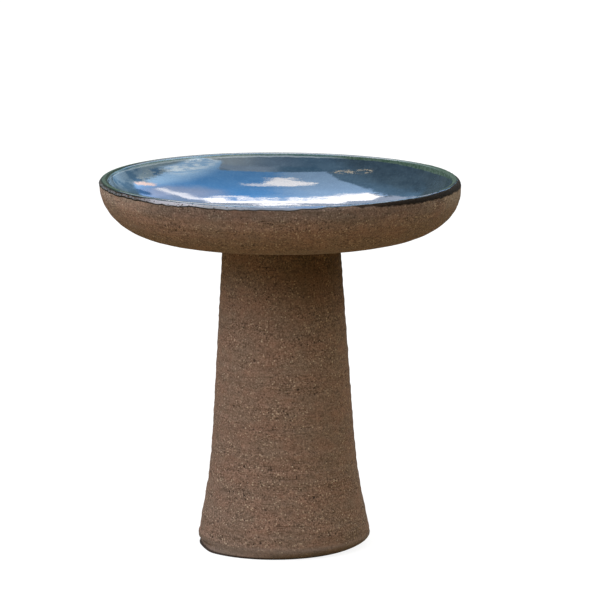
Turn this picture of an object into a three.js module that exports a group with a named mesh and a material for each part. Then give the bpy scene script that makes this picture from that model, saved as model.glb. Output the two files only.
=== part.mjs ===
// A bird bath in two pieces of thrown stoneware: a wide shallow basin with a glazed inside, standing on a
// hollow tapered pedestal. Millimetres, +Z up, origin on the ground under the pedestal's centre.
import * as THREE from "three";

// The whole object
const HEIGHT = 577; // ground to the top of the rim
const RIM_RADIUS = 280; // the basin's widest radius
const TURNED_SEGMENTS = 60; // straight facets round each turned piece

// The glaze is a glassy coat that follows the clay and turns over the lip
const GLAZE_THICKNESS = 1.2;
const GLAZE_GAP = 0.3; // keeps the coat's solid clear of the clay's solid
const GLAZE_STANDS = GLAZE_GAP + GLAZE_THICKNESS;

// The basin's lip is a rounded clay edge under the glaze. Depths are measured down from the rim's top.
const LIP_HALF_WIDTH = 5;
const LIP_RADIUS = RIM_RADIUS - GLAZE_STANDS - LIP_HALF_WIDTH; // the middle of the lip
const LIP_DEPTH = 10; // the lip's rounding ends here
const SHOULDER_DEPTH = 11; // where the bare outside starts, under the glaze's edge

// The basin's walls: each is a quarter of an ellipse that runs into an underside or a floor of one slope
const BODY_SLOPE = 0.14; // fall of the underside and the floor towards the centre
const OUTER_WALL = { topRadius: RIM_RADIUS, centreRadius: 186, centreDepth: 8, drop: 78 };
const INNER_WALL = {
  topRadius: 273, // of the whole ellipse: its centre lies above the lip, so the wall leans out to its top
  centreRadius: 62,
  centreDepth: -8,
  drop: 89,
};
const FLOOR_RADIUS = 80; // the flat middle of the basin's floor
const SEAT_OUTER_RADIUS = 95; // the flat ring under the basin that rests on the pedestal
const FOOT_RING = { outerRadius: 61, innerRadius: 50, height: 12, edge: 3, fillet: 2 };

// The pedestal's outside is a straight taper with a flare that dies away above the foot
const PEDESTAL_TOP_RADIUS = 92.5;
const PEDESTAL_TAPER = 0.0624; // growth of the radius for each millimetre down
const FLARE = 13.3; // what the flare adds at the ground
const FLARE_HEIGHT = 88; // how quickly the flare dies away
const PEDESTAL_WALL = 13; // wall thickness, measured to the straight taper
const FOOT_EDGE = { height: 12, contactRadius: 120 }; // the rounded outer edge of the foot
const TOP_EDGE = 6; // radius of the rounded shoulder at the top
const LEDGE = { innerRadius: 66, thickness: 14, edge: 3 }; // the inward-turned top

// Soft pads keep the basin from rocking on the pedestal
const PAD = { count: 3, radius: 6.5, thickness: 2.5, edge: 1, circle: 79, firstAngle: 90, segments: 16 };

// Steps along the curved stretches of the outlines
const WALL_STEPS = 8;
const LIP_STEPS = 6;
const PEDESTAL_STEPS = 10;
const FOOT_CROWDING = 1.5; // above 1, the pedestal's steps are closer together near the foot
const FOOT_STEPS = 4;
const EDGE_STEPS = 3;

const point = (radius, height) => new THREE.Vector2(radius, height);
const degrees = (angle) => THREE.MathUtils.degToRad(angle);

// Points of an elliptical arc round a centre, with angles in degrees from the outward direction
function arc(centreRadius, centreHeight, reach, rise, from, to, steps) {
  return Array.from({ length: steps + 1 }, (_, i) => {
    const angle = degrees(from + ((to - from) * i) / steps);
    return point(centreRadius + reach * Math.cos(angle), centreHeight + rise * Math.sin(angle));
  });
}

// Points of one of the basin's walls, from its top down to where the body's slope begins
function wallPoints(wall, startDepth) {
  const reach = wall.topRadius - wall.centreRadius;
  const startAngle = Math.asin((startDepth - wall.centreDepth) / wall.drop);
  const endAngle = Math.atan2(wall.drop, reach * BODY_SLOPE);
  const [from, to] = [startAngle, endAngle].map((angle) => -THREE.MathUtils.radToDeg(angle));
  return arc(wall.centreRadius, HEIGHT - wall.centreDepth, reach, wall.drop, from, to, WALL_STEPS);
}

// The height that the body's slope has reached at a radius, starting from the wall's last point
function slopeHeight(wallEnd, radius) {
  return wallEnd.y - (wallEnd.x - radius) * BODY_SLOPE;
}

// The glazed side of the basin from the floor's centre up the inside and over the lip, as a surface that
// stands a little off the clay. The clay itself is the surface that stands off by nothing.
function glazedOutline(stands) {
  const wall = {
    ...INNER_WALL,
    topRadius: INNER_WALL.topRadius - stands,
    drop: INNER_WALL.drop - stands,
  };
  const inside = wallPoints(wall, LIP_DEPTH).reverse();
  const floorHeight = slopeHeight(inside[0], FLOOR_RADIUS);
  const lipRise = LIP_DEPTH - GLAZE_STANDS + stands;
  const lip = arc(LIP_RADIUS, HEIGHT - LIP_DEPTH, LIP_HALF_WIDTH + stands, lipRise, 180, 0, LIP_STEPS);
  return [point(0, floorHeight), point(FLOOR_RADIUS, floorHeight), ...inside, ...lip.slice(1)];
}

const outerWall = wallPoints(OUTER_WALL, SHOULDER_DEPTH);
const seatHeight = slopeHeight(outerWall.at(-1), SEAT_OUTER_RADIUS);
const pedestalHeight = seatHeight - PAD.thickness;

// The underside of the basin: the seat, and the foot ring that drops into the pedestal's opening
function undersidePoints() {
  const { outerRadius, innerRadius, height, edge, fillet } = FOOT_RING;
  const ringHeight = seatHeight - height;
  return [
    point(SEAT_OUTER_RADIUS, seatHeight),
    point(outerRadius + fillet, seatHeight),
    point(outerRadius, seatHeight - fillet),
    ...arc(outerRadius - edge, ringHeight + edge, edge, edge, 0, -90, EDGE_STEPS),
    ...arc(innerRadius + edge, ringHeight + edge, edge, edge, -90, -180, EDGE_STEPS),
    point(innerRadius, seatHeight - fillet),
    point(innerRadius - fillet, seatHeight),
    point(0, seatHeight),
  ];
}

const pedestalRadius = (height) => PEDESTAL_TOP_RADIUS + PEDESTAL_TAPER * (pedestalHeight - height);
const flareAt = (height) => FLARE * Math.exp(-((height / FLARE_HEIGHT) ** 2));

function pedestalPoints() {
  const shoulderHeight = pedestalHeight - TOP_EDGE;
  const outside = Array.from({ length: PEDESTAL_STEPS + 1 }, (_, i) => {
    const share = (i / PEDESTAL_STEPS) ** FOOT_CROWDING;
    const height = FOOT_EDGE.height + (shoulderHeight - FOOT_EDGE.height) * share;
    return point(pedestalRadius(height) + flareAt(height), height);
  });
  const { contactRadius, height: footHeight } = FOOT_EDGE;
  const footReach = outside[0].x - contactRadius;
  const foot = arc(contactRadius, footHeight, footReach, footHeight, -90, 0, FOOT_STEPS);
  const shoulder = arc(outside.at(-1).x - TOP_EDGE, shoulderHeight, TOP_EDGE, TOP_EDGE, 0, 90, EDGE_STEPS);
  const ledgeTurn = LEDGE.innerRadius + LEDGE.edge;
  const ledgeTop = arc(ledgeTurn, pedestalHeight - LEDGE.edge, LEDGE.edge, LEDGE.edge, 90, 180, EDGE_STEPS);
  const undersideHeight = pedestalHeight - LEDGE.thickness;
  const boreRadius = (height) => pedestalRadius(height) - PEDESTAL_WALL;
  return [
    point(boreRadius(0), 0),
    ...foot.slice(0, -1),
    ...outside,
    ...shoulder.slice(1),
    ...ledgeTop,
    point(LEDGE.innerRadius, undersideHeight),
    point(boreRadius(undersideHeight) - LEDGE.edge, undersideHeight),
    point(boreRadius(undersideHeight - LEDGE.edge), undersideHeight - LEDGE.edge),
    point(boreRadius(0), 0),
  ];
}

// A solid turned about the vertical axis from an outline of radii and heights
function turned(outline, segments) {
  return new THREE.LatheGeometry(outline, segments).rotateX(Math.PI / 2);
}

function namedMesh(name, geometry, material) {
  const mesh = new THREE.Mesh(geometry, material);
  mesh.name = name;
  return mesh;
}

const stoneware = new THREE.MeshStandardMaterial({ color: 0x6c5647, roughness: 0.9, metalness: 0 });
const blueGlaze = new THREE.MeshStandardMaterial({ color: 0x3d6486, roughness: 0.08, metalness: 0 });
const padRubber = new THREE.MeshStandardMaterial({ color: 0x242322, roughness: 0.8, metalness: 0 });

function makePedestal() {
  return namedMesh("pedestal", turned(pedestalPoints(), TURNED_SEGMENTS), stoneware);
}

function makeBasin() {
  const outside = [...undersidePoints().reverse(), ...[...outerWall].reverse()];
  const inside = glazedOutline(0).reverse();
  return namedMesh("basin", turned([...outside, ...inside], TURNED_SEGMENTS), stoneware);
}

function makeGlazeLining() {
  const under = glazedOutline(GLAZE_GAP);
  const top = glazedOutline(GLAZE_STANDS).reverse();
  return namedMesh("glaze_lining", turned([...under, ...top], TURNED_SEGMENTS), blueGlaze);
}

function makePad(index) {
  const { count, radius, thickness, edge, circle, firstAngle, segments } = PAD;
  const outline = [
    point(0, 0),
    point(radius, 0),
    point(radius, thickness - edge),
    point(radius - edge, thickness),
    point(0, thickness),
  ];
  const pad = namedMesh(`basin_pad_${index + 1}`, turned(outline, segments), padRubber);
  const angle = degrees(firstAngle + (360 * index) / count);
  pad.position.set(circle * Math.cos(angle), circle * Math.sin(angle), pedestalHeight);
  return pad;
}

const birdBath = new THREE.Group();
birdBath.add(makePedestal(), makeBasin(), makeGlazeLining());
for (let index = 0; index < PAD.count; index += 1) {
  birdBath.add(makePad(index));
}

export default birdBath;
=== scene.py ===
"""The looks of a two-piece stoneware bird bath: a thrown basin with a glossy blue glaze inside, which lifts
off a hollow thrown pedestal. Metres, +Z up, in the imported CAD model's frame. Left, right, front and back are
as the camera sees them: front is towards -Y, and right is +X."""

import math

import bpy
import numpy as np
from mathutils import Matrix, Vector


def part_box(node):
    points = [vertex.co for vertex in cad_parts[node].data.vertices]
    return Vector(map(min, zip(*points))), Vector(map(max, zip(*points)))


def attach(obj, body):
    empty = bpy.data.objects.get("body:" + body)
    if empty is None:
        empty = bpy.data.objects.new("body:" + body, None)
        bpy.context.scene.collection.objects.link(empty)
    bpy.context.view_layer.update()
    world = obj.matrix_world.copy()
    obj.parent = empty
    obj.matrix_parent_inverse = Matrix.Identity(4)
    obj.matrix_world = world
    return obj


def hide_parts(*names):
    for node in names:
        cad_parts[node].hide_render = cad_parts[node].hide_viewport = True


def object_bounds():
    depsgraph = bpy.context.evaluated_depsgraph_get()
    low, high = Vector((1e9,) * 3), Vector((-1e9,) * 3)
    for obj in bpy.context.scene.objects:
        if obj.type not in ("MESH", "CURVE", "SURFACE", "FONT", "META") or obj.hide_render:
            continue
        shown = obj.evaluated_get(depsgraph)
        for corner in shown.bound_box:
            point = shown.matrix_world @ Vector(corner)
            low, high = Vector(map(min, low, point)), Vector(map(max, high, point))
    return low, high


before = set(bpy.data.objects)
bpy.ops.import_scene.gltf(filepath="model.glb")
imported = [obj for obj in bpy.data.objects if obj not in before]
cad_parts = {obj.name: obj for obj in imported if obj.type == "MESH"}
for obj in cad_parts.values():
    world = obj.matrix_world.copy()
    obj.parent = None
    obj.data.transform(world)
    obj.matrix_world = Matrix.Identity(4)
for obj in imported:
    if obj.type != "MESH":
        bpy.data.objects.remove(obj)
cad_low, cad_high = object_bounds()

MM = 0.001
FULL_TURN = 2 * math.pi

# ---------------------------------------------------------------- sizes, from the CAD frame where it has them

RIM_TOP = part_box("glaze_lining")[1].z
RIM_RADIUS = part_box("glaze_lining")[1].x
RING_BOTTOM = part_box("basin")[0].z
LEDGE_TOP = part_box("pedestal")[1].z
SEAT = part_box("basin_pad_1")[1].z  # the flat ring under the basin, on top of the pads

# The basin's walls run as quarter ellipses into one slope, as the CAD's do
BODY_SLOPE = 0.14
GLAZE_THICKNESS = 0.8 * MM
LIP_TOP = RIM_TOP - GLAZE_THICKNESS  # of the clay
LIP_OUTSIDE = (7 * MM, 8 * MM)  # width and depth of the lip's outer rounding
LIP_FLAT = (3.5 * MM, 0.3 * MM)  # width and fall of its top
LIP_INSIDE = (2.5 * MM, 3 * MM)  # width and depth of its inner rounding
LIP_INNER_RADIUS = RIM_RADIUS - LIP_OUTSIDE[0] - LIP_FLAT[0] - LIP_INSIDE[0]
OUTER_WALL = {
    "top": RIM_RADIUS,
    "top_height": LIP_TOP - LIP_OUTSIDE[1],
    "centre": 186 * MM,
    "centre_height": LIP_TOP - 8 * MM,
    "drop": 78 * MM,
}
INNER_WALL = {
    "top": LIP_INNER_RADIUS,
    "top_height": LIP_TOP - LIP_FLAT[1] - LIP_INSIDE[1],
    "centre": 62 * MM,
    "centre_height": RIM_TOP + 8 * MM,  # above the lip, so the wall leans out to its top
    "drop": 89 * MM,
}
FLOOR_FALL = 0.45  # how far the floor falls to its centre, as a share of one straight slope
SEAT_OUTER_RADIUS = 95 * MM
FOOT_RING = {"outer": 61 * MM, "inner": 50 * MM, "edge": 3 * MM, "fillet": 3 * MM}
BASIN_COLUMNS = 560  # points round the basin and its glaze

# The glaze runs over the lip and ends in a ragged edge outside
GLAZE_BACK = 1.5 * MM  # how far the coat's hidden back lies under the clay's surface
APRON_LENGTH = 9 * MM  # of the coat's mesh on the outer wall, most of it under the clay
RAGGED_EDGE = 10.5 * MM  # from the lip's top to where the glaze ends outside
RAGGED_SHORT = 9 * MM  # by how much it ends sooner on the right, over burnt clay
RAGGED_SPREAD = 2.2 * MM
BURNT_BAND = 12 * MM  # from the lip's top to the burnt clay's lower edge
CREASE = 3.6 * MM  # from the outer rounding to a crease along the lip's inner edge

# The pedestal: a straight taper with a flare that dies away above the foot
PEDESTAL_TOP_RADIUS = 91.7 * MM
PEDESTAL_TAPER = 0.0624
FLARE = 13.3 * MM
FLARE_HEIGHT = 88 * MM
PEDESTAL_WALL = 13 * MM
FOOT_EDGE_HEIGHT = 12 * MM
FOOT_CONTACT_RADIUS = 124.5 * MM
TOP_EDGE = 6 * MM
LEDGE = {"radius": 66 * MM, "thickness": 14 * MM, "edge": 3 * MM}
PEDESTAL_COLUMNS = 400
PAD_COLUMNS = 40

# What the potter's hands and tools left: rings of a pitch and depth, and how many marks and grains
BASIN_RINGS = {"pitch": 17 * MM, "depth": 0.25 * MM}
GLAZE_RINGS = {"pitch": 21 * MM, "depth": 0.06 * MM}
COLUMN_RINGS = {"pitch": 15 * MM, "depth": 0.3 * MM}
COLUMN_SWELLS = {"pitch": 41 * MM, "depth": 0.35 * MM}
BORE_RINGS = {"pitch": 22 * MM, "depth": 0.9 * MM}
BASIN_DRAGS = {"count": 60, "depth": 0.5 * MM}
COLUMN_DRAGS = {"count": 110, "depth": 0.8 * MM}
BASIN_GRIT = {"count": 420, "depth": 0.5 * MM}
COLUMN_GRIT = {"count": 800, "depth": 0.6 * MM}
BASIN_TORN = 0.3 * MM
COLUMN_TORN = 0.45 * MM
DRAG_LENGTHS = (5, 32)  # half of each, in mm
DRAG_WIDTHS = (0.8, 1.5)  # half of each, in mm
GRAIN_SIZES = (1.2, 2.4)  # in mm
BASIN_SEED = 11
GLAZE_EDGE_SEED = 23
GLAZE_SEED = 29
PEDESTAL_SEED = 37

# The trimmed bead round the foot, highest and thickest at the left, with a groove above it
BEAD_TOP = 20 * MM
BEAD_SLANT = 4 * MM
BEAD_BELOW = 6 * MM  # from its groove down to its middle
BEAD_WIDTH = 5 * MM
GROOVE = {"depth": 0.9 * MM, "width": 1.3 * MM}

# How fine the noise is, in cells per metre: round the piece, in two numbers, and along its outline
BELT_CELLS = (7, 7, 42)
HUE_CELLS = (16, 16, 30)
MOTTLE_CELLS = (75, 75, 120)
LINE_CELLS = (34, 34, 420)
GRAIN_CELLS = 390.0  # in every direction
EDGE_CELLS = (60, 60, 60)
RUN_CELLS = (40, 40, 90)

# The camera and the light
CAMERA_PLACE = (0.0, -6.963, 1.644)
CAMERA_PITCH = 0.17778
CAMERA_YAW = -0.00315
LENS = 276.5  # in mm, as is the sensor's width
SENSOR_WIDTH = 36.0
VIEW_END = 200.0
FLOOR_HALF = 60.0
FLOOR_GLOW = 0.88
KEY_PLACE = (-2.7, -2.0, 2.5)  # from the middle of the object
KEY_SIZE = 2.4
KEY_POWER = 66
KEY_COLOUR = (0.95, 0.99, 1.07)

# Colours, as linear red, green and blue. Stoneware:
CLAY_RED = (0.263, 0.156, 0.111)
CLAY_OLIVE = (0.219, 0.156, 0.115)
CLAY_DARK = (0.164, 0.107, 0.077)
CLAY_LIGHT = (0.375, 0.252, 0.186)
CLAY_DEEP = (0.090, 0.058, 0.041)
CLAY_GREY = (0.175, 0.138, 0.112)
# paler ends under the lip, partly dust and partly painted sheen; SHADE below is painted shade between them
DUST_AND_PAINTED_SHEEN = (1.25, 1.40, 1.50)  # these two multiply the clay under the lip
SHADE = (0.74, 0.78, 0.84)
# dark pits in the grain, and painted shade along the column's contact edge
PIT_AND_PAINTED_SHADE = (0.022, 0.015, 0.011)
GROG = (0.62, 0.48, 0.35)
# painted shade under the basin, multiplied into the top of the column's clay
PAINTED_SHADE_UNDER_BASIN = (0.56, 0.50, 0.38)
BURNT = (0.010, 0.006, 0.003)
CLAY_SHINE = {
    "specular_ior_level": 0.05,
    "sheen_weight": 0.06,
    "sheen_roughness": 0.45,
    "sheen_tint": (1.0, 0.85, 0.70, 1.0),
}

# The glaze inside, then over the lip
WALL_DARK = (0.029, 0.050, 0.070)
WALL_PALE = (0.042, 0.069, 0.092)
POOL_DARK = (0.028, 0.055, 0.090)
POOL_PALE = (0.042, 0.074, 0.112)
BLOOM = (0.10, 0.15, 0.18)
GREEN_DARK = (0.012, 0.034, 0.022)
GREEN = (0.045, 0.088, 0.055)
GREEN_PALE = (0.110, 0.160, 0.125)
# a painted highlight: the pale line inside the lip at the back left
PAINTED_HIGHLIGHT_LINE = (0.27, 0.31, 0.31)
EDGE_DARK = (0.008, 0.007, 0.006)
BURNT_DARK = (0.014, 0.010, 0.007)
BURNT_RED = (0.055, 0.032, 0.022)
# slate-blue glaze over the lip, painted pale as a reflection of the sky
PALE_SLATE_PAINTED_REFLECTION = (0.185, 0.205, 0.250)
EDGE_BROWN = (0.070, 0.055, 0.048)
# pale grey over the lip: in the painted highlight streak, and in a faint pale band above the ragged edge
LIP_PALE_GREY = (0.26, 0.27, 0.29)
# the palest part of the painted highlight streak, at its left
PAINTED_HIGHLIGHT_PALE = (0.40, 0.40, 0.44)

# The sky that the glaze mirrors, and the light on everything else
SKY_DEEP = (0.45, 1.75, 4.1)
SKY_PALE = (2.0, 3.0, 4.5)
SKY_RIGHT = (2.8, 4.5, 6.6)
SKY_BRIGHT = (7.0, 8.0, 8.7)
SKY_DUSK = (0.1, 0.5, 1.4)
LAVENDER = (1.9, 2.3, 3.5)
SHAPES_DARK = (0.35, 0.85, 1.6)
SHAPES_PALE = (1.5, 2.0, 2.3)
CLOUD = (9.0, 8.6, 8.6)
SUNLIT = (7.0, 5.2, 4.7)
HAZE = (1.6, 1.75, 2.15)
HAZE_BLUE = (1.05, 1.45, 2.3)
BUSHES = (0.12, 0.16, 0.15)
LOW_BLUE = (0.35, 0.75, 1.25)
LOW_PALE = (1.0, 1.5, 2.0)
OUTLINE = (3.4, 3.7, 3.6)
FRONT_DARK = (0.12, 0.42, 0.80)
FRONT_MIDDLE = (0.85, 1.15, 1.60)
FRONT_PALE = (1.7, 2.1, 2.7)
FRONT_RIGHT = (2.4, 2.7, 2.9)
TREES_LIT = (0.33, 0.66, 1.05)
TREES_DARK = (0.04, 0.07, 0.07)
TWIGS = (7.0, 5.6, 3.6)
GROUND_MIRRORED = (0.06, 0.07, 0.045)
GROUND_BOUNCE = (0.36, 0.29, 0.17)
DOME_HORIZON = (0.17, 0.13, 0.05)
DOME_OVERHEAD = (1.40, 1.40, 1.42)
DOME_LEFT = (1.10, 1.13, 1.30)
DOME_RIGHT = (1.00, 0.99, 0.88)
WHITE = (1.0, 1.0, 1.0)
FLOOR_PALE = (0.20, 0.20, 0.20)
RUBBER_DARK = (0.012, 0.012, 0.011)
RUBBER_PALE = (0.045, 0.043, 0.041)

# Patches of the mirrored sky: centre and half size, east then north, on the flat disc seen looking up
LAVENDER_PATCH = ((0.31, 0.68), (0.14, 0.16))
CLOUD_BODY = ((-0.02, 0.335), (0.10, 0.045))
CLOUD_CROWN = ((0.0, 0.23), (0.07, 0.11))
CLOUD_TAIL = ((0.10, 0.36), (0.07, 0.025))
CLOUD_PUFF = ((0.14, 0.665), (0.05, 0.02))
SUNLIT_PATCH = ((0.53, 0.65), (0.045, 0.065))
DUSK_PATCH = ((0.39, 0.81), (0.06, 0.035))
FRONT_PATCH = ((0.43, -0.12), (0.06, 0.06))
GLINT_PATCH = ((-0.52, -0.06), (0.18, 0.11))
TWIG_PATCH = ((-0.27, 0.71), (0.035, 0.05))


# ---------------------------------------------------------------- outlines: arrays of radius and height

def arc(centre, reach, start, end, spacing):
    """Points of an elliptical arc, between angles in degrees from the outward direction."""
    length = math.radians(abs(end - start)) * max(reach)
    angles = np.radians(np.linspace(start, end, max(4, round(length / spacing))))
    across = centre[0] + reach[0] * np.cos(angles)
    up = centre[1] + reach[1] * np.sin(angles)
    return np.stack([across, up], axis=1)


def line(start, end, spacing):
    """Points of a straight stretch."""
    return np.linspace(start, end, max(2, round(math.dist(start, end) / spacing) + 1))


def join(*stretches):
    """One outline from several stretches, without the points that they share."""
    points = np.concatenate(stretches)
    gaps = np.linalg.norm(np.diff(points, axis=0), axis=1)
    return points[np.concatenate([[True], gaps > 0.05 * MM])]


def wall_arc(wall, spacing, stands=0.0):
    """One of the basin's walls, part of an ellipse from its top down to where the body's slope begins."""
    drop = wall["drop"] - stands
    start = math.asin((wall["centre_height"] - wall["top_height"]) / drop)
    reach = (wall["top"] - stands - wall["centre"]) / math.cos(start)
    start, end = -math.degrees(start), -math.degrees(math.atan2(drop, reach * BODY_SLOPE))
    return arc((wall["centre"], wall["centre_height"]), (reach, drop), start, end, spacing)


def inside_outline(stands, spacing):
    """The basin's inside from its centre up to the lip, standing off the clay by a little. The floor is
    level at its centre and steepens to the body's slope at its edge."""
    wall = wall_arc(INNER_WALL, spacing, stands)[::-1]
    edge_radius, edge_height = wall[0]
    radius = np.linspace(0, edge_radius, round(edge_radius / (2 * spacing)))
    fall = edge_radius * BODY_SLOPE * FLOOR_FALL
    height = edge_height - fall + fall * (radius / edge_radius) ** (1 / FLOOR_FALL)
    return join(np.stack([radius, height], axis=1), wall)


def lip_outline(stands, spacing):
    """The lip from outside to inside, standing off the clay by a little: a full outer rounding, a narrow
    top that falls a little inward, and a tighter inner rounding."""
    flat_start = RIM_RADIUS - LIP_OUTSIDE[0]
    flat_end = flat_start - LIP_FLAT[0]
    outer_centre = (flat_start, LIP_TOP - LIP_OUTSIDE[1])
    inner_centre = (flat_end, LIP_TOP - LIP_FLAT[1] - LIP_INSIDE[1])
    outer = arc(outer_centre, (LIP_OUTSIDE[0] + stands, LIP_OUTSIDE[1] + stands), 0, 90, spacing)
    inner = arc(inner_centre, (LIP_INSIDE[0] + stands, LIP_INSIDE[1] + stands), 90, 180, spacing)
    return join(outer, line(outer[-1], inner[0], spacing), inner)


def underside_outline():
    """The basin's bare underside, from its centre out over the foot ring and the seat to the wall."""
    edge, fillet = FOOT_RING["edge"], FOOT_RING["fillet"]
    inner, outer = FOOT_RING["inner"], FOOT_RING["outer"]
    fine = 1.5 * MM
    return join(
        line((0, SEAT), (inner - fillet, SEAT), 6 * MM),
        arc((inner - fillet, SEAT - fillet), (fillet, fillet), 90, 0, fine),
        arc((inner + edge, RING_BOTTOM + edge), (edge, edge), 180, 270, fine),
        arc((outer - edge, RING_BOTTOM + edge), (edge, edge), 270, 360, fine),
        arc((outer + fillet, SEAT - fillet), (fillet, fillet), 180, 90, fine),
        line((outer + fillet, SEAT), (SEAT_OUTER_RADIUS, SEAT), 5 * MM),
        line((SEAT_OUTER_RADIUS, SEAT), wall_arc(OUTER_WALL, fine)[-1], 3 * MM),
    )


def basin_outline():
    """The clay of the basin, from the centre of its underside round to the centre of its hidden inside."""
    wall = wall_arc(OUTER_WALL, 1.6 * MM)[::-1]
    return join(underside_outline(), wall, lip_outline(0, 1.6 * MM), inside_outline(0, 9 * MM)[::-1])


def glaze_outline():
    """The glaze coat, from the centre of its hidden back to the centre of its top. Its top follows the
    clay's own surface: its thickness comes with its relief."""
    apron = wall_arc(OUTER_WALL, 1 * MM)
    apron = apron[distance_along(apron) < APRON_LENGTH]
    under = wall_arc(OUTER_WALL, 1 * MM, GLAZE_BACK)[: len(apron)]
    back = join(inside_outline(-GLAZE_BACK, 9 * MM), lip_outline(-GLAZE_BACK, 2 * MM)[::-1], under)
    return join(back, apron[::-1], lip_outline(0, 0.8 * MM), inside_outline(0, 2 * MM)[::-1])


def pedestal_radius(height):
    return PEDESTAL_TOP_RADIUS + PEDESTAL_TAPER * (LEDGE_TOP - height)


def pedestal_outline():
    """The pedestal, from the inner edge of its foot up the outside, over the ledge and down the bore."""
    shoulder, under = LEDGE_TOP - TOP_EDGE, LEDGE_TOP - LEDGE["thickness"]
    edge = LEDGE["edge"]
    heights = np.linspace(FOOT_EDGE_HEIGHT, shoulder, 176)
    flare = FLARE * np.exp(-((heights / FLARE_HEIGHT) ** 2))
    outside = np.stack([pedestal_radius(heights) + flare, heights], axis=1)
    foot_reach = outside[0][0] - FOOT_CONTACT_RADIUS
    foot_bore = pedestal_radius(0) - PEDESTAL_WALL
    bore = pedestal_radius(under) - PEDESTAL_WALL
    opening = LEDGE["radius"] + edge
    return join(
        arc((foot_bore + edge, edge), (edge, edge), 180, 270, 1.5 * MM),
        line((foot_bore + edge, 0), (FOOT_CONTACT_RADIUS, 0), 4 * MM),
        arc((FOOT_CONTACT_RADIUS, FOOT_EDGE_HEIGHT), (foot_reach, FOOT_EDGE_HEIGHT), 270, 360, 1.6 * MM),
        outside,
        arc((outside[-1][0] - TOP_EDGE, shoulder), (TOP_EDGE, TOP_EDGE), 0, 90, 1.5 * MM),
        arc((opening, LEDGE_TOP - edge), (edge, edge), 90, 180, 1.5 * MM),
        arc((opening, under + edge), (edge, edge), 180, 270, 1.5 * MM),
        arc((bore - TOP_EDGE, under - TOP_EDGE), (TOP_EDGE, TOP_EDGE), 90, 0, 2 * MM),
        line((bore, under - TOP_EDGE), (foot_bore, edge), 11 * MM)[:-1],
    )


def pad_outline(radius, thickness):
    """A rubber pad: a stout button with a soft upper edge."""
    edge = thickness * 0.4
    return join(
        line((0, 0), (radius - edge / 2, 0), 2 * MM),
        arc((radius - edge, edge), (edge, edge), -60, 0, 0.3 * MM),
        arc((radius - edge, thickness - edge), (edge, edge), 0, 90, 0.3 * MM),
        line((radius - edge, thickness), (0, thickness), 2 * MM),
    )


# ---------------------------------------------------------------- the relief of a thrown surface

def fade(value, start, end):
    """0 before start, 1 after end, and smooth between."""
    share = np.clip((value - start) / (end - start), 0, 1)
    return share * share * (3 - 2 * share)


def ridge(value, centre, width):
    """1 at the centre, falling away smoothly on both sides."""
    return np.exp(-(((value - centre) / width) ** 2))


def smooth_noise(rng, angle, along, cells_around, cell_along):
    """Smooth random values from -1 to 1 that repeat once round the piece."""
    rows = int(np.ptp(along) / cell_along) + 3
    grid = rng.uniform(-1, 1, (rows, cells_around))
    across = (angle / FULL_TURN * cells_around) % cells_around
    down = (along - along.min()) / cell_along
    column, row = np.floor(across).astype(int), np.floor(down).astype(int)
    u, v = fade(across - column, 0, 1), fade(down - row, 0, 1)
    column, after = column % cells_around, (column + 1) % cells_around
    top = grid[row, column] * (1 - u) + grid[row, after] * u
    bottom = grid[row + 1, column] * (1 - u) + grid[row + 1, after] * u
    return top * (1 - v) + bottom * v


def throwing_rings(rng, angle, along, pitch, depth):
    """The potter's finger ridges: rounded rings of uneven height that climb in a slow spiral."""
    climbing = along + pitch * angle / FULL_TURN
    uneven = smooth_noise(rng, angle, along, 5, 3 * pitch)
    swell = 0.6 + 0.4 * smooth_noise(rng, angle, along, 4, 2 * pitch)
    return depth * swell * np.sin(FULL_TURN * climbing / pitch + 2.2 * uneven)


def torn_belts(rng, angle, along, depth):
    """Coarse clay that the rib tore open, in level belts, with smoother skin between them."""
    belts = fade(smooth_noise(rng, angle, along, 9, 17 * MM), -0.1, 0.5)
    coarse = smooth_noise(rng, angle, along, 150, 3.2 * MM)
    lines = smooth_noise(rng, angle, along, 16, 2.8 * MM)
    return depth * belts * (0.6 * coarse + 0.7 * lines)


def near(angle, along, radius, centre, place):
    """Distances from one spot of the surface: round the piece, and along the outline."""
    turn = (angle - centre + math.pi) % FULL_TURN - math.pi
    return turn * radius, along - place


def drag_marks(rng, angle, along, radius, zone, count, depth):
    """Short level grooves where a coarse grain was dragged through the wet clay."""
    relief = np.zeros(np.broadcast(angle, along).shape)
    for _ in range(count):
        across, down = near(angle, along, radius, rng.uniform(0, FULL_TURN), rng.uniform(*zone))
        half_length = rng.uniform(*DRAG_LENGTHS) * MM
        half_width = rng.uniform(*DRAG_WIDTHS) * MM
        lean = rng.uniform(-0.08, 0.08) * across
        waver = 0.8 * MM * np.sin(across / (3 * MM) + rng.uniform(0, FULL_TURN))
        down = down - lean - waver
        groove = np.exp(-((across / half_length) ** 4) - (down / half_width) ** 2)
        relief -= depth * rng.uniform(0.3, 1) * groove
    return relief


def grit(rng, angle, along, radius, zone, count, depth):
    """Pits where grains fell out, and bumps where they stand proud."""
    relief = np.zeros(np.broadcast(angle, along).shape)
    for _ in range(count):
        across, down = near(angle, along, radius, rng.uniform(0, FULL_TURN), rng.uniform(*zone))
        size = rng.uniform(*GRAIN_SIZES) * MM
        relief += depth * rng.uniform(-1, 0.6) * np.exp(-(across**2 + down**2) / size**2)
    return relief


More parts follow.
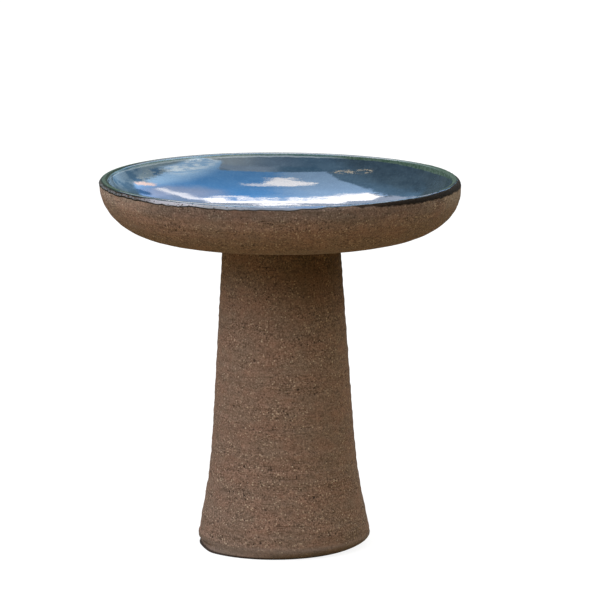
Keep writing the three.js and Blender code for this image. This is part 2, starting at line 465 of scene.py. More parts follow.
def basin_relief(angle, along, radius, height):
    """Outside the basin: faint rings, torn belts, drag marks and grit, none of them on the seat or in the
    hidden inside."""
    rng = np.random.default_rng(BASIN_SEED)
    bare = fade(-along, 3 * MM, 14 * MM) * fade(radius, SEAT_OUTER_RADIUS, SEAT_OUTER_RADIUS + 12 * MM)
    zone = (-200 * MM, -12 * MM)
    rough = throwing_rings(rng, angle, along, **BASIN_RINGS)
    rough = rough + torn_belts(rng, angle, along, BASIN_TORN)
    rough = rough + drag_marks(rng, angle, along, RIM_RADIUS, zone, **BASIN_DRAGS)
    rough = rough + grit(rng, angle, along, RIM_RADIUS, zone, **BASIN_GRIT)
    return rough * bare


def glaze_end(angle, along):
    """Distance left to the ragged edge outside, where the glaze ends. It ends soonest on the right."""
    rng = np.random.default_rng(GLAZE_EDGE_SEED)
    still = np.zeros((1, 1))
    coarse = smooth_noise(rng, angle, still, 37, 1.0)
    fine = smooth_noise(rng, angle, still, 173, 1.0)
    right = fade(np.cos(angle + math.radians(20)), 0.25, 0.85)
    return along + RAGGED_EDGE - RAGGED_SHORT * right + RAGGED_SPREAD * (0.4 * coarse + 0.4 * fine)


def glaze_relief(angle, along, radius, height):
    """The coat's thickness over its top and lip, sunk into the clay below the ragged edge, with the soft
    rings of the thrown surface inside."""
    rng = np.random.default_rng(GLAZE_SEED)
    left = glaze_end(angle, along)
    cover = fade(left, -0.8 * MM, 1.0 * MM)
    roll = 0.35 * MM * ridge(left, 1.6 * MM, 1.2 * MM)
    coat = GLAZE_THICKNESS * (1.8 * cover - 0.8) + roll
    inside = fade(along, 14 * MM, 30 * MM)
    rings = throwing_rings(rng, angle, along, **GLAZE_RINGS)
    ripple = 0.03 * MM * smooth_noise(rng, angle, along, 60, 9 * MM)
    crease = -0.4 * MM * ridge(along, CREASE, 1.1 * MM)
    return coat + crease + inside * (rings + ripple)


def foot_bead(angle, height, groove_height):
    """The trimmed bead round the foot, fuller at the left, and the groove above it."""
    left = 0.5 - 0.5 * np.cos(angle)
    fullness = (0.5 + 0.7 * left**2) * MM
    bead = fullness * ridge(height, groove_height - BEAD_BELOW, BEAD_WIDTH) * fade(height, 0, 8 * MM)
    return bead - GROOVE["depth"] * ridge(height, groove_height, GROOVE["width"])


def pedestal_relief(angle, along, radius, height):
    """Outside the pedestal: rings, torn belts, drag marks and grit, with a trimmed bead round the foot.
    Coarser rings in the bore. None on the contact ring and the ledge."""
    rng = np.random.default_rng(PEDESTAL_SEED)
    outside = radius > pedestal_radius(height) - PEDESTAL_WALL / 2
    upper = 1 - fade(height, LEDGE_TOP - 12 * MM, LEDGE_TOP - 2 * MM)
    uneven = 1.2 * MM * smooth_noise(rng, angle, along, 19, 900 * MM)
    groove_height = BEAD_TOP - BEAD_SLANT * np.cos(angle) + uneven
    trimmed = fade(height, groove_height - 3 * MM, groove_height + 3 * MM)
    zone = (30 * MM, LEDGE_TOP)
    rough = throwing_rings(rng, angle, along, **COLUMN_RINGS)
    rough = rough + throwing_rings(rng, angle, along, **COLUMN_SWELLS)
    rough = rough + torn_belts(rng, angle, along, COLUMN_TORN) * (1.25 - 0.9 * height / LEDGE_TOP)
    rough = rough + drag_marks(rng, angle, along, FOOT_CONTACT_RADIUS, zone, **COLUMN_DRAGS)
    rough = rough + grit(rng, angle, along, FOOT_CONTACT_RADIUS, zone, **COLUMN_GRIT)
    bore = fade(LEDGE_TOP - height, 40 * MM, 60 * MM) * fade(height, 5 * MM, 20 * MM)
    bore_rings = bore * throwing_rings(rng, angle, along, **BORE_RINGS)
    return np.where(outside, upper * trimmed * rough + foot_bead(angle, height, groove_height), bore_rings)


def no_relief(angle, along, radius, height):
    return np.zeros(np.broadcast(angle, along).shape)


# ---------------------------------------------------------------- how the pots stray from true

RIM_SHIFT = -2.2 * MM  # of the rim's centre, to the left
RIM_TILT = (0.004, -0.0018)  # it lies a little low on the right, and a little high at the back
RIM_RISE = 0.8 * MM
RIM_OVAL = 0.7 * MM
BODY_BULGE = 2.2 * MM  # the wall stands out on the right, half way down
FOOT_SHIFT = 4.2 * MM  # the column leans: its foot is this far right of its top
FOOT_OVAL = 0.8 * MM
FOOT_SKEW = 5 * MM  # on the right the foot's edge lies this much higher
FOOT_UNDERCUT = 16 * MM  # its contact ring lies this far left of its edge
FOOT_NIP = 9 * MM  # the lower edge is pressed in at the left end
FOOT_SKEW_HEIGHT = 70 * MM  # where the skew has died away


def basin_wander(x, y, z):
    """The basin's rim is a little off its centre, tilted and out of round."""
    rise = fade(z, SEAT + 4 * MM, RIM_TOP)
    turn = np.arctan2(y, x)
    swell = RIM_OVAL * rise * (np.sin(2 * turn + 0.6) + 0.5 * np.sin(3 * turn + 2.0))
    level = RIM_RISE - RIM_TILT[0] * x - RIM_TILT[1] * y
    lift = rise * (level + 0.5 * RIM_OVAL * np.sin(3 * turn + 1.0))
    swell = swell + 4 * rise * (1 - rise) * BODY_BULGE * fade(np.cos(turn), 0, 1)
    return np.stack([RIM_SHIFT * rise + swell * np.cos(turn), swell * np.sin(turn), lift], axis=1)


def pedestal_wander(x, y, z):
    """The column leans a little, its foot is out of round, and its lower edge isn't cut square."""
    drop = 1 - z / LEDGE_TOP
    turn = np.arctan2(y, x)
    swell = FOOT_OVAL * drop * (np.sin(2 * turn + 2.4) + 0.6 * np.sin(3 * turn + 0.4))
    outside = fade(np.hypot(x, y), FOOT_CONTACT_RADIUS - 12 * MM, FOOT_CONTACT_RADIUS)
    low = 1 - fade(z, FOOT_EDGE_HEIGHT, FOOT_SKEW_HEIGHT)
    cut = 1 - np.minimum(z / FOOT_EDGE_HEIGHT, 1)
    lift = outside * low * FOOT_SKEW * np.maximum(np.cos(turn), 0) * (1 - cut)
    under = -FOOT_UNDERCUT * cut**2
    nip = outside * FOOT_NIP * fade(cut, 0.0, 0.5) * fade(-np.cos(turn), 0.75, 1.0)
    sideways = FOOT_SHIFT * drop + under + nip + swell * np.cos(turn)
    return np.stack([sideways, swell * np.sin(turn), lift], axis=1)


def no_wander(x, y, z):
    return np.zeros((len(x), 3))


# ---------------------------------------------------------------- turned meshes

def distance_along(outline):
    return np.concatenate([[0], np.cumsum(np.linalg.norm(np.diff(outline, axis=0), axis=1))])


def outward(outline, closed):
    """The outline's normal at each point, to the right of its direction of travel."""
    if closed:
        along = np.roll(outline, -1, axis=0) - np.roll(outline, 1, axis=0)
    else:
        along = np.gradient(outline, axis=0)
    along = along / np.linalg.norm(along, axis=1, keepdims=True)
    return np.stack([along[:, 1], -along[:, 0]], axis=1)


def ring_faces(index, closed):
    """Quads between neighbouring rows of points, which run round the piece."""
    beside = np.roll(index, -1, axis=1)
    quads = np.stack([index, beside, np.roll(beside, -1, axis=0), np.roll(index, -1, axis=0)], axis=2)
    return (quads if closed else quads[:-1]).reshape(-1, 4).tolist()


def cap_faces(row, tip, upper):
    """A fan of triangles from a row of points to one on the axis."""
    beside = np.roll(row, -1)
    pairs = zip(row.tolist(), beside.tolist())
    return [[tip, a, b] if upper else [tip, b, a] for a, b in pairs]


def keep_values(mesh, name, kind, field, values):
    """Stores a value for each point of a mesh, for its material to read."""
    mesh.attributes.new(name, kind, "POINT").data.foreach_set(field, np.ravel(values).astype(np.float32))


def turned_piece(name, outline, columns, relief, wander, closed=False, start=0.0):
    """A closed mesh: an outline turned round the axis, raised by its relief and bent by its wander. An
    outline that isn't closed starts and ends on the axis. start is the distance along the outline that
    counts as 0. The mesh keeps each point's place on the surface in the attribute thrown: round the
    piece at a fixed radius, and along the outline."""
    angle = np.linspace(0, FULL_TURN, columns, endpoint=False)[None, :]
    along = distance_along(outline)[:, None] - start
    radius, height = outline[:, :1], outline[:, 1:]
    normal = outward(outline, closed)
    raised = relief(angle, along, radius, height)
    if not closed:
        raised[0] = raised[0].mean()
        raised[-1] = raised[-1].mean()
    across, up = radius + normal[:, :1] * raised, height + normal[:, 1:] * raised
    points = np.stack([across * np.cos(angle), across * np.sin(angle), up], axis=2)
    reach = radius.max()
    thrown = np.stack(np.broadcast_arrays(reach * np.cos(angle), reach * np.sin(angle), along), axis=2)
    index = np.arange(points[..., 0].size).reshape(points.shape[:2])
    if closed:
        faces = ring_faces(index, True)
        points, thrown = points.reshape(-1, 3), thrown.reshape(-1, 3)
    else:
        index = index[:-2]
        first, last = index.size, index.size + 1
        faces = ring_faces(index, False)
        faces += cap_faces(index[0], first, False) + cap_faces(index[-1], last, True)
        ends = [[0, 0, up[0, 0]], [0, 0, up[-1, 0]]]
        points = np.concatenate([points[1:-1].reshape(-1, 3), ends])
        thrown = np.concatenate([thrown[1:-1].reshape(-1, 3), thrown[0, :1], thrown[-1, :1]])
    points = points + wander(*points.T)
    mesh = bpy.data.meshes.new(name)
    mesh.from_pydata(points.tolist(), [], faces)
    mesh.shade_smooth()
    keep_values(mesh, "thrown", "FLOAT_VECTOR", "vector", thrown)
    piece = bpy.data.objects.new(name, mesh)
    bpy.context.scene.collection.objects.link(piece)
    return piece


# ---------------------------------------------------------------- material nodes

class Nodes:
    """A short way to write a node tree: each call adds one node and returns its output socket."""

    def __init__(self, tree):
        self.tree = tree
        tree.nodes.clear()

    def add(self, kind, inputs=(), output=0, **settings):
        node = self.tree.nodes.new(kind)
        for key, value in settings.items():
            setattr(node, key, value)
        for key, value in dict(inputs).items():
            if isinstance(value, bpy.types.NodeSocket):
                self.tree.links.new(value, node.inputs[key])
            else:
                node.inputs[key].default_value = value
        return node.outputs[output] if node.outputs else None

    def math(self, operation, a, b=0.0):
        return self.add("ShaderNodeMath", {0: a, 1: b}, operation=operation)

    def times(self, *values):
        product = values[0]
        for value in values[1:]:
            product = self.math("MULTIPLY", product, value)
        return product

    def apart(self, a, b):
        """The distance between two values."""
        return self.math("ABSOLUTE", self.math("SUBTRACT", a, b))

    def ramp(self, value, low, high, to_low=0.0, to_high=1.0):
        """Smoothly maps a value from one range to another."""
        inputs = {"Value": value, "From Min": low, "From Max": high, "To Min": to_low, "To Max": to_high}
        return self.add("ShaderNodeMapRange", inputs, interpolation_type="SMOOTHSTEP")

    def mix(self, share, a, b, blend="MIX"):
        """Mixes two colours. Plain tuples are red, green and blue."""
        a, b = ((*c, 1.0) if isinstance(c, tuple) and len(c) == 3 else c for c in (a, b))
        settings = {"data_type": "RGBA", "blend_type": blend}
        return self.add("ShaderNodeMix", {0: share, 6: a, 7: b}, output=2, **settings)

    def noise(self, place, scale=1.0, detail=3.0, roughness=0.55):
        inputs = {"Vector": place, "Scale": scale, "Detail": detail, "Roughness": roughness}
        return self.add("ShaderNodeTexNoise", inputs)

    def vector(self, operation, a, b=(0, 0, 0), output=0):
        return self.add("ShaderNodeVectorMath", {0: a, 1: b}, output=output, operation=operation)

    def stretch(self, place, scale):
        return self.vector("MULTIPLY", place, scale)

    def warp(self, place, scale, amount):
        """The same place, pushed about by noise, so that shapes there lose their neat outlines."""
        inputs = {"Vector": place, "Scale": scale, "Detail": 2.0}
        push = self.add("ShaderNodeTexNoise", inputs, output=1)
        push = self.vector("SUBTRACT", push, (0.5, 0.5, 0.5))
        return self.vector("ADD", place, self.vector("MULTIPLY", push, (amount,) * 3))

    def split(self, place):
        node = self.tree.nodes.new("ShaderNodeSeparateXYZ")
        self.tree.links.new(place, node.inputs[0])
        return node.outputs

    def attribute(self, name, output=1):
        return self.add("ShaderNodeAttribute", output=output, attribute_name=name)

    def spots(self, place, scale, radius, share):
        """1 in the middle of scattered spots of many sizes, and 0 between them. share is how many cells
        have one."""
        cells = self.tree.nodes.new("ShaderNodeTexVoronoi")
        cells.inputs["Scale"].default_value = scale
        self.tree.links.new(place, cells.inputs["Vector"])
        chance, size, _ = self.split(cells.outputs["Color"])
        reach = self.ramp(size, 0.0, 1.0, radius * 0.35, radius)
        inside = self.ramp(self.math("DIVIDE", cells.outputs["Distance"], reach), 1.0, 0.45)
        return self.times(inside, self.math("LESS_THAN", chance, share))

    def bump(self, height, distance):
        return self.add("ShaderNodeBump", {"Height": height, "Distance": distance, "Strength": 1.0})

    def surface(self, **inputs):
        """The principled shader, with words like base_color for its sockets."""
        named = {key.replace("_", " ").title().replace("Ior", "IOR"): v for key, v in inputs.items()}
        shader = self.add("ShaderNodeBsdfPrincipled", named)
        self.add("ShaderNodeOutputMaterial", {"Surface": shader})


def new_material(name):
    material = bpy.data.materials.new(name)
    material.use_nodes = True
    return material, Nodes(material.node_tree)


def column_shading(n, colour, here, hue, torn):
    """The column's clay: painted shade under the basin, mostly on the right. On the trimmed bead it is
    smoother and greyer, and its contact edge is darkened with painted shade. Returns the colour, and how torn
    the clay is."""
    across, _, high = n.split(here)
    wavy = n.math("ADD", high, n.times(n.math("SUBTRACT", hue, 0.5), 12 * MM))
    trimmed = n.ramp(wavy, 21 * MM, 15 * MM)
    colour = n.mix(n.times(trimmed, 0.5), colour, CLAY_GREY)
    # painted shade along the foot's contact edge, where the floor hides the light
    colour = n.mix(n.ramp(high, 4.5 * MM, 2.5 * MM, 0.0, 0.85), colour, PIT_AND_PAINTED_SHADE)
    torn = n.times(torn, n.ramp(trimmed, 0.0, 1.0, 1.0, 0.6))
    # painted shade under the basin, darkest at the top of the column and towards the right
    painted_shade = n.times(n.ramp(high, 0.33, 0.46), n.ramp(across, -0.08, 0.06))
    return n.mix(painted_shade, colour, n.mix(1.0, colour, PAINTED_SHADE_UNDER_BASIN, blend="MULTIPLY")), torn


def rim_shading(n, colour, here, thrown, hue, mottle):
    """The basin's clay: under the lip it is paler at both ends, partly dust and partly painted sheen, and
    darker between them with painted shade, and burnt black beside the glaze on the right."""
    side = n.math("ADD", n.split(here)[0], n.times(n.math("SUBTRACT", hue, 0.5), 0.10))
    below = n.math("ADD", n.split(thrown)[2], n.times(n.math("SUBTRACT", mottle, 0.5), 8 * MM))
    under = n.ramp(below, -42 * MM, -14 * MM)
    # paler ends, partly dust and partly painted sheen, with painted shade under the lip between them
    shade = n.mix(n.ramp(side, -0.26, -0.16), DUST_AND_PAINTED_SHEEN, SHADE)
    shade = n.mix(n.ramp(side, 0.215, 0.26), shade, DUST_AND_PAINTED_SHEEN)
    colour = n.mix(under, colour, n.mix(1.0, colour, shade, blend="MULTIPLY"))
    band = n.ramp(side, 0.05, 0.22, 7 * MM - BURNT_BAND, -BURNT_BAND)
    burnt = n.ramp(n.math("SUBTRACT", below, band), -1.5 * MM, 1.5 * MM)
    burnt = n.times(burnt, n.ramp(side, 0.03, 0.09), n.ramp(side, 0.06, 0.20, 0.7, 1.0))
    return n.mix(burnt, colour, BURNT)


def stoneware(name, roughest=1.0, rim=False):
    """Dark-brown fired clay, full of grog: pale specks and dark pits in torn belts, with smoother skin
    between the belts. roughest scales how deep the grain is. With rim, it is shaded as the basin is, and
    without it as the column is."""
    material, n = new_material(name)
    thrown = n.attribute("thrown")
    here = n.add("ShaderNodeTexCoord", output=3)
    loose = n.warp(here, 330.0, 2.2 * MM)

    belts = n.noise(n.stretch(thrown, BELT_CELLS), detail=4, roughness=0.6)
    torn = n.ramp(belts, 0.38, 0.64, 0.55, 1.0)
    hue = n.noise(n.stretch(thrown, HUE_CELLS), detail=5, roughness=0.6)
    mottle = n.noise(n.stretch(thrown, MOTTLE_CELLS), detail=3, roughness=0.6)
    grain = n.noise(here, GRAIN_CELLS, detail=3, roughness=0.72)
    lines = n.noise(n.stretch(thrown, LINE_CELLS), detail=3)

    colour = n.mix(n.ramp(hue, 0.36, 0.64), CLAY_RED, CLAY_OLIVE)
    colour = n.mix(n.ramp(mottle, 0.34, 0.66, 0.0, 0.55), colour, CLAY_DARK)
    colour = n.mix(n.times(n.ramp(grain, 0.48, 0.68), torn), colour, CLAY_LIGHT)
    colour = n.mix(n.times(n.ramp(grain, 0.51, 0.36), torn), colour, CLAY_DEEP)
    colour = n.mix(n.times(n.ramp(lines, 0.57, 0.70, 0.0, 0.7), torn), colour, CLAY_DEEP)

    pits = n.math("MAXIMUM", n.spots(loose, 300.0, 0.55, 0.24), n.spots(loose, 120.0, 0.38, 0.12))
    pits = n.times(pits, torn)
    grog = n.math("MAXIMUM", n.spots(loose, 360.0, 0.60, 0.18), n.spots(here, 180.0, 0.34, 0.10))
    grog = n.times(grog, n.ramp(belts, 0.34, 0.60, 0.35, 1.0))
    colour = n.mix(n.times(pits, 0.85), colour, PIT_AND_PAINTED_SHADE)
    colour = n.mix(n.times(grog, 0.85), colour, GROG)
    if rim:
        colour = rim_shading(n, colour, here, thrown, hue, mottle)
    else:
        colour, torn = column_shading(n, colour, here, hue, torn)

    height = n.math("SUBTRACT", n.times(grog, 0.5), n.times(pits, 1.2))
    height = n.math("ADD", height, n.times(grain, n.times(torn, 2.0 * roughest)))
    height = n.math("SUBTRACT", height, n.times(n.ramp(lines, 0.55, 0.72), torn))
    normal = n.bump(height, 0.5 * MM)
    roughness = n.ramp(grain, 0.2, 0.8, 0.78, 0.96)
    n.surface(base_color=colour, roughness=roughness, normal=normal, **CLAY_SHINE)
    return material


def glaze_inner_lip(n, blue, place, side, back, fine):
    """The lip breaks green all round but at the front, between dark lines, and wider at the right and the
    back. A painted highlight, a pale line, runs inside it at the back left."""
    middle = n.times(n.ramp(side, -0.09, -0.05), n.ramp(side, 0.19, 0.16), n.ramp(back, -0.08, -0.14))
    around = n.ramp(middle, 0.8, 0.1)
    broad = n.ramp(side, 0.17, 0.24, 2 * MM, 5 * MM)
    broad = n.math("ADD", broad, n.ramp(back, 0.0, 0.12, 0.0, 3.4 * MM))
    green = n.mix(n.ramp(fine, 0.35, 0.65), GREEN, GREEN_PALE)
    lip = n.times(n.ramp(n.math("SUBTRACT", place, broad), CREASE + 1.4 * MM, CREASE), around)
    colour = n.mix(lip, blue, green)
    # a painted highlight: a pale line inside the lip at the back left
    pale = n.ramp(n.apart(place, CREASE + 5.7 * MM), 1.5 * MM, 0.8 * MM)
    colour = n.mix(n.times(pale, n.ramp(side, 0.12, 0.04), n.ramp(back, 0.0, 0.08)), colour, PAINTED_HIGHLIGHT_LINE)
    crease = n.times(n.ramp(side, -0.25, -0.17), n.ramp(back, 0.0, -0.04), n.ramp(side, 0.1, 0.0))
    crease = n.ramp(crease, 0.0, 1.0, CREASE, -1.5 * MM)
    dark = n.times(n.ramp(n.apart(place, crease), 1.9 * MM, 1.0 * MM), n.ramp(side, 0.20, 0.12))
    dark = n.math("MAXIMUM", dark, n.ramp(n.apart(place, -3.6 * MM), 1.6 * MM, 0.8 * MM))
    return n.mix(n.times(dark, around), colour, n.mix(n.ramp(fine, 0.4, 0.6), GREEN_DARK, EDGE_DARK))


def glaze_outer_lip(n, colour, place, end, side, back, fine, ragged):
    """The lip's outer rounding: a painted highlight streak over brown from the left end towards the front,
    slate from there to the right, painted pale as a reflection of the sky, burnt brown behind and at the very
    left with a faint pale band, and a dark ragged edge."""
    burnt = n.mix(n.ramp(ragged, 0.40, 0.62), BURNT_DARK, BURNT_RED)
    # a faint pale band a few millimetres above the ragged edge
    pale_band = n.times(n.ramp(end, 5.2 * MM, 4.4 * MM), n.ramp(end, 1.4 * MM, 2.4 * MM))
    pale_band = n.times(pale_band, n.ramp(fine, 0.44, 0.50), 0.55)
    burnt = n.mix(pale_band, burnt, LIP_PALE_GREY)
    # a painted highlight streak along the lip's left front, broken by brown
    painted_highlight_streak = n.mix(n.ramp(side, -0.15, -0.10), PAINTED_HIGHLIGHT_PALE, LIP_PALE_GREY)
    painted_highlight_streak = n.mix(n.ramp(fine, 0.36, 0.44), BURNT_RED, painted_highlight_streak)
    over = n.mix(n.ramp(side, -0.22, -0.18), burnt, painted_highlight_streak)
    # slate-blue where the glaze is thicker, painted pale as a reflection of the sky, from the front to the
    # right
    over = n.mix(n.ramp(side, -0.08, -0.03), over, PALE_SLATE_PAINTED_REFLECTION)
    over = n.mix(n.ramp(back, -0.04, 0.04), over, burnt)
    colour = n.mix(n.ramp(place, -3.6 * MM, -5.0 * MM), colour, over)
    brown = n.times(n.ramp(side, -0.14, -0.08), n.ramp(side, 0.06, 0.02))
    return n.mix(n.ramp(end, 2.2 * MM, 0.9 * MM), colour, n.mix(brown, EDGE_DARK, EDGE_BROWN))


def blue_glaze():
    """A glassy slate blue, deeper where it pools in the floor. It changes colour over the lip, and is less
    glossy outside it on the left."""
    material, n = new_material("blue_glaze")
    thrown = n.attribute("thrown")
    here = n.add("ShaderNodeTexCoord", output=3)
    place = n.split(thrown)[2]  # distance from the lip's top: above 0 inside, below 0 outside
    end = n.attribute("glaze_end", output=2)  # distance left to the ragged edge
    ragged = n.noise(n.stretch(thrown, EDGE_CELLS), detail=4, roughness=0.65)
    mottle = n.noise(here, 30.0, detail=5, roughness=0.6)
    fine = n.noise(here, 240.0, detail=3, roughness=0.65)
    runs = n.noise(n.stretch(thrown, RUN_CELLS), detail=4)
    place = n.math("ADD", place, n.times(n.math("SUBTRACT", ragged, 0.5), 3.0 * MM))
    side, back, _ = n.split(here)
    side = n.math("ADD", side, n.times(n.math("SUBTRACT", mottle, 0.5), 0.05))

    wall = n.mix(n.ramp(runs, 0.35, 0.68), WALL_DARK, WALL_PALE)
    pool = n.mix(n.ramp(mottle, 0.35, 0.68), POOL_DARK, POOL_PALE)
    blue = n.mix(n.ramp(place, 50 * MM, 95 * MM), wall, pool)
    blue = n.mix(n.ramp(fine, 0.45, 0.75, 0.0, 0.25), blue, BLOOM)
    colour = glaze_inner_lip(n, blue, place, side, back, fine)
    colour = glaze_outer_lip(n, colour, place, end, side, back, fine, ragged)

    outside = n.ramp(place, -4 * MM, -7 * MM)
    roughness = n.ramp(n.times(outside, n.ramp(side, 0.0, -0.08)), 0.0, 1.0, 0.05, 0.3)
    grit = n.times(outside, n.noise(here, 420.0, detail=3, roughness=0.7), 0.6)
    height = n.math("ADD", n.math("ADD", mottle, n.times(fine, 0.12)), grit)
    n.surface(base_color=colour, roughness=roughness, normal=n.bump(height, 0.14 * MM), ior=1.62)
    return material


def pad_rubber():
    """Dull black rubber with a fine bloom."""
    material, n = new_material("pad_rubber")
    here = n.add("ShaderNodeTexCoord", output=3)
    bloom = n.noise(here, 900.0, detail=4)
    colour = n.mix(n.ramp(bloom, 0.35, 0.7), RUBBER_DARK, RUBBER_PALE)
    roughness = n.ramp(bloom, 0.3, 0.7, 0.6, 0.85)
    n.surface(base_color=colour, roughness=roughness, normal=n.bump(bloom, 0.1 * MM))
    return material


# ---------------------------------------------------------------- the pieces

def finish_piece(piece, material, body, node):
    piece.data.materials.append(material)
    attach(piece, body)
    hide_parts(node)


def make_pedestal():
    shape = (pedestal_outline(), PEDESTAL_COLUMNS, pedestal_relief, pedestal_wander)
    piece = turned_piece("pedestal_column", *shape, closed=True)
    finish_piece(piece, stoneware("column_clay"), "pedestal", "pedestal")


def lip_place(outline):
    """The distance along an outline to its highest point, the top of the lip."""
    return distance_along(outline)[np.argmax(outline[:, 1])]


def make_basin():
    outline = basin_outline()
    start = lip_place(outline)
    piece = turned_piece("basin_body", outline, BASIN_COLUMNS, basin_relief, basin_wander, start=start)
    finish_piece(piece, stoneware("basin_clay", roughest=0.7, rim=True), "basin", "basin")


def make_glaze():
    outline = glaze_outline()
    start = lip_place(outline)
    piece = turned_piece("glaze_coat", outline, BASIN_COLUMNS, glaze_relief, basin_wander, start=start)
    angle = np.linspace(0, FULL_TURN, BASIN_COLUMNS, endpoint=False)[None, :]
    end = glaze_end(angle, distance_along(outline)[1:-1, None] - start)
    keep_values(piece.data, "glaze_end", "FLOAT", "value", np.concatenate([end.ravel(), [1.0, 1.0]]))
    finish_piece(piece, blue_glaze(), "basin", "glaze_lining")


def make_pads():
    rubber = pad_rubber()
    for index in (1, 2, 3):
        node = f"basin_pad_{index}"
        low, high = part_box(node)
        radius, thickness = (high.x - low.x) / 2, high.z - low.z
        centre = (low + high) / 2
        outline = pad_outline(radius, thickness)
        piece = turned_piece(f"rubber_pad_{index}", outline, PAD_COLUMNS, no_relief, no_wander)
        piece.location = (centre.x, centre.y, low.z)
        finish_piece(piece, rubber, "pedestal", node)


make_pedestal()
make_basin()
make_glaze()
make_pads()


# ---------------------------------------------------------------- floor, light and camera

def make_floor():
    """A plain pale floor that fades into the background, with only a faint shadow on it. It throws warm
    light up onto the clay, and shows dark in the glaze."""
    mesh = bpy.data.meshes.new("studio_floor")
    corners = [(x * FLOOR_HALF, y * FLOOR_HALF, 0) for x, y in ((-1, -1), (1, -1), (1, 1), (-1, 1))]
    mesh.from_pydata(corners, [], [(0, 1, 2, 3)])
    floor = bpy.data.objects.new("studio_floor", mesh)
    bpy.context.scene.collection.objects.link(floor)
    material, n = new_material("studio_floor")
    ray = n.tree.nodes.new("ShaderNodeLightPath").outputs
    lit = n.add("ShaderNodeBsdfDiffuse", {"Color": (*GROUND_BOUNCE, 1)})
    mirrored = n.add("ShaderNodeEmission", {"Color": (*GROUND_MIRRORED, 1), "Strength": 1.0})
    pale = n.add("ShaderNodeBsdfDiffuse", {"Color": (*FLOOR_PALE, 1)})
    glow = n.add("ShaderNodeEmission", {"Color": (*WHITE, 1), "Strength": FLOOR_GLOW})
    bright = n.add("ShaderNodeAddShader", {0: pale, 1: glow})
    shown = n.add("ShaderNodeMixShader", {0: ray["Is Glossy Ray"], 1: lit, 2: mirrored})
    shown = n.add("ShaderNodeMixShader", {0: ray["Is Camera Ray"], 1: shown, 2: bright})
    n.add("ShaderNodeOutputMaterial", {"Surface": shown})
    floor.data.materials.append(material)


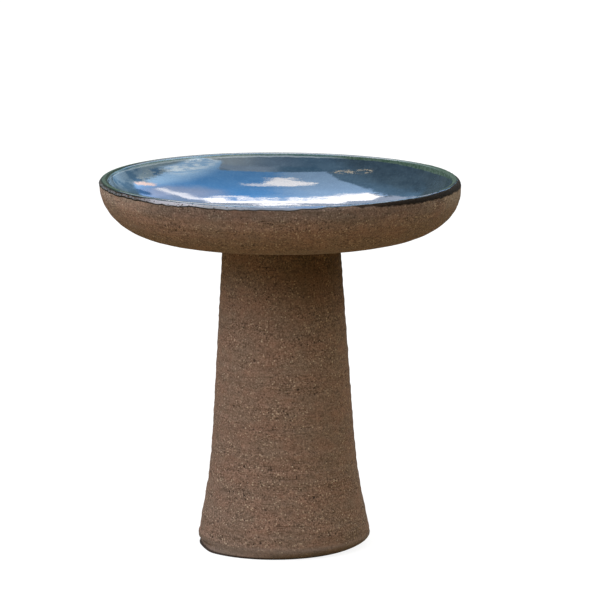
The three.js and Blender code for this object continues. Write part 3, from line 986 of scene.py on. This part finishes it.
class Sky:
    """What the glaze mirrors, laid out on the flat disc seen looking straight up."""

    def __init__(self, n, toward):
        self.n = n
        self.toward = toward
        self.east, self.north, self.up = n.split(toward)
        ragged = n.noise(n.stretch(toward, (13, 13, 13)), detail=10, roughness=0.78)
        self.ragged = n.math("SUBTRACT", ragged, 0.5)
        self.shapes = n.noise(n.stretch(toward, (9, 9, 4)), detail=6, roughness=0.6)
        self.twig = n.apart(n.noise(n.stretch(toward, (8, 8, 8)), detail=2), 0.5)

    def edge(self, value, start, end, amount):
        """A ragged edge, across which a value goes from start to end."""
        return self.n.ramp(self.n.math("ADD", value, self.n.times(self.ragged, amount)), start, end)

    def patch(self, centre, size, amount=3.5, soft=0.2):
        """A ragged oval."""
        offset = self.n.vector("SUBTRACT", self.toward, (*centre, 0))
        scaled = self.n.vector("MULTIPLY", offset, (1 / size[0], 1 / size[1], 0))
        return self.edge(self.n.vector("LENGTH", scaled, output=1), 1 + soft, 1 - soft, amount)

    def clear(self):
        """Deep blue overhead, pale on the left and brighter on the right, with tall shapes at its end."""
        n, east, north, shapes = self.n, self.east, self.north, self.shapes
        sky = n.mix(self.edge(east, 0.10, -0.10, 0.3), SKY_DEEP, SKY_PALE)
        sky = n.mix(n.ramp(east, 0.38, 0.60), sky, SKY_RIGHT)
        bright = n.times(n.ramp(east, 0.52, 0.66), n.ramp(east, 0.90, 0.80), n.ramp(shapes, 0.42, 0.60))
        sky = n.mix(n.times(bright, n.ramp(north, 0.32, 0.12)), sky, SKY_BRIGHT)
        upright = n.mix(n.ramp(shapes, 0.44, 0.54), SHAPES_DARK, SHAPES_PALE)
        outline = n.ramp(n.apart(shapes, 0.49), 0.02, 0.008)
        upright = n.mix(n.times(outline, 0.7), upright, OUTLINE)
        sideways = n.math("ADD", east, n.times(north, 0.35))
        right = n.times(self.edge(sideways, 0.77, 0.83, 0.3), self.edge(north, 0.10, 0.22, 0.5))
        sky = n.mix(right, sky, upright)
        sky = n.mix(n.ramp(east, 0.82, 0.90), sky, SHAPES_PALE)
        return n.mix(self.patch(*LAVENDER_PATCH, amount=1.0, soft=0.5), sky, LAVENDER)

    def bank(self):
        """A bank of cloud low behind the object, with a slanted arm to its right."""
        n, east, north = self.n, self.east, self.north
        start = n.math("ADD", north, n.ramp(east, 0.0, -0.22, 0.0, 0.06))
        bank = n.times(self.edge(start, 0.685, 0.715, 0.35), self.edge(east, -0.285, -0.255, 0.2))
        bank = n.times(bank, self.edge(east, 0.22, 0.15, 0.5))
        slanted = n.apart(n.math("ADD", north, n.times(east, 0.42)), 0.83)
        arm = n.times(self.edge(slanted, 0.045, 0.010, 0.15), self.edge(east, 0.12, 0.16, 0.1))
        arm = n.times(arm, self.edge(east, 0.42, 0.38, 0.2), 0.55)
        return n.math("MAXIMUM", bank, arm)

    def clouds(self):
        """The bank with a puff over it, and a small cloud with a tail nearly overhead."""
        n = self.n
        crown = self.patch(*CLOUD_CROWN, amount=6.0, soft=0.3)
        tail = n.times(self.patch(*CLOUD_TAIL, amount=5.0), 0.6)
        puff = n.times(self.patch(*CLOUD_PUFF, amount=4.0), 0.6)
        cloud = self.patch(*CLOUD_BODY, amount=5.0)
        for other in (crown, tail, puff, self.bank()):
            cloud = n.math("MAXIMUM", cloud, other)
        return cloud

    def front(self):
        """The dim surroundings in front of the object, palest at the right."""
        n, east = self.n, self.east
        front = n.mix(n.ramp(east, -0.05, 0.14), FRONT_DARK, FRONT_PALE)
        low = n.mix(n.ramp(east, -0.45, 0.15), FRONT_DARK, FRONT_MIDDLE)
        low = n.mix(n.ramp(east, 0.08, 0.50), low, FRONT_RIGHT)
        front = n.mix(self.edge(self.north, -0.30, -0.44, 0.2), front, low)
        return n.mix(n.times(self.patch(*FRONT_PATCH, amount=2.0), 0.8), front, FRONT_MIDDLE)

    def trees(self):
        """Trees on the left, with glints of light on their twigs."""
        n = self.n
        slanted = n.math("SUBTRACT", self.east, n.times(self.north, 0.15))
        trees = n.mix(self.edge(slanted, -0.36, -0.64, 0.4), TREES_LIT, TREES_DARK)
        glints = n.times(n.ramp(self.twig, 0.030, 0.010), self.patch(*GLINT_PATCH, amount=1.0))
        return n.mix(glints, trees, TWIGS)

    def behind(self):
        """What stands on the ground behind the object: bushes, and bluer shapes to their right."""
        n = self.n
        shapes = n.mix(n.ramp(self.shapes, 0.42, 0.56), LOW_BLUE, LOW_PALE)
        return n.mix(n.ramp(self.east, 0.25, 0.50), BUSHES, shapes)

    def whole(self):
        """All of it, from the clear sky down to what stands on the ground."""
        n, east, north, up = self.n, self.east, self.north, self.up
        sky = n.mix(self.clouds(), self.clear(), CLOUD)
        sky = n.mix(self.patch(*SUNLIT_PATCH), sky, SUNLIT)
        sky = n.mix(self.patch(*DUSK_PATCH, amount=1.5), sky, SKY_DUSK)
        haze = n.mix(n.ramp(east, 0.10, 0.22), HAZE, HAZE_BLUE)
        strip = n.times(self.edge(up, 0.632, 0.618, 0.04), n.ramp(north, 0.5, 0.6))
        sky = n.mix(n.times(strip, self.edge(east, 0.34, 0.24, 0.2)), sky, haze)
        limit = n.math("ADD", north, n.ramp(east, 0.44, 0.58, 0.0, 0.42))
        sky = n.mix(self.edge(limit, -0.085, -0.115, 0.05), sky, self.front())
        sky = n.mix(self.edge(east, -0.295, -0.315, 0.10), sky, self.trees())
        dark = n.times(n.ramp(self.twig, 0.035, 0.015), self.patch(*TWIG_PATCH, amount=1.0))
        sky = n.mix(dark, sky, TREES_DARK)
        return n.mix(n.times(self.edge(up, 0.46, 0.40, 0.10), n.ramp(north, 0.3, 0.5)), sky, self.behind())


def make_world():
    """A white background, and an even light that comes mostly from overhead. The glaze mirrors its own
    sky."""
    world = bpy.data.worlds.new("studio")
    bpy.context.scene.world = world
    world.use_nodes = True
    n = Nodes(world.node_tree)
    toward = n.add("ShaderNodeTexCoord", output=0)
    east, _, up = n.split(toward)
    overcast = n.mix(n.ramp(up, 0.1, 0.85), DOME_HORIZON, DOME_OVERHEAD)
    tint = n.mix(n.ramp(east, -0.9, 0.9), DOME_LEFT, DOME_RIGHT)
    overcast = n.mix(1.0, overcast, tint, blend="MULTIPLY")
    ray = n.tree.nodes.new("ShaderNodeLightPath").outputs
    light = n.mix(ray["Is Glossy Ray"], overcast, Sky(n, toward).whole())
    light = n.mix(ray["Is Camera Ray"], light, WHITE)
    background = n.add("ShaderNodeBackground", {"Color": light, "Strength": 1.0})
    n.add("ShaderNodeOutputWorld", {"Surface": background})


def make_softbox(name, place, size, energy, colour):
    """A round area light that faces the middle of the object and doesn't show in the glaze."""
    data = bpy.data.lights.new(name, "AREA")
    data.shape = "DISK"
    data.size = size
    data.energy = energy
    data.color = colour
    light = bpy.data.objects.new(name, data)
    bpy.context.scene.collection.objects.link(light)
    light.location = (cad_low + cad_high) / 2 + Vector(place)
    light.rotation_euler = (-Vector(place)).to_track_quat("-Z", "Y").to_euler()
    light.visible_glossy = False
    light.visible_camera = False


def make_camera():
    """A long lens, about seven metres away, looking ten degrees down."""
    data = bpy.data.cameras.new("camera")
    data.lens = LENS
    data.sensor_width = SENSOR_WIDTH
    data.clip_end = VIEW_END
    camera = bpy.data.objects.new("camera", data)
    bpy.context.scene.collection.objects.link(camera)
    camera.location = CAMERA_PLACE
    camera.rotation_euler = (math.pi / 2 - CAMERA_PITCH, 0.0, CAMERA_YAW)
    bpy.context.scene.camera = camera


make_floor()
make_world()
make_softbox("key_left", KEY_PLACE, KEY_SIZE, KEY_POWER, KEY_COLOUR)
make_camera()
bpy.context.scene.view_settings.view_transform = "Standard"
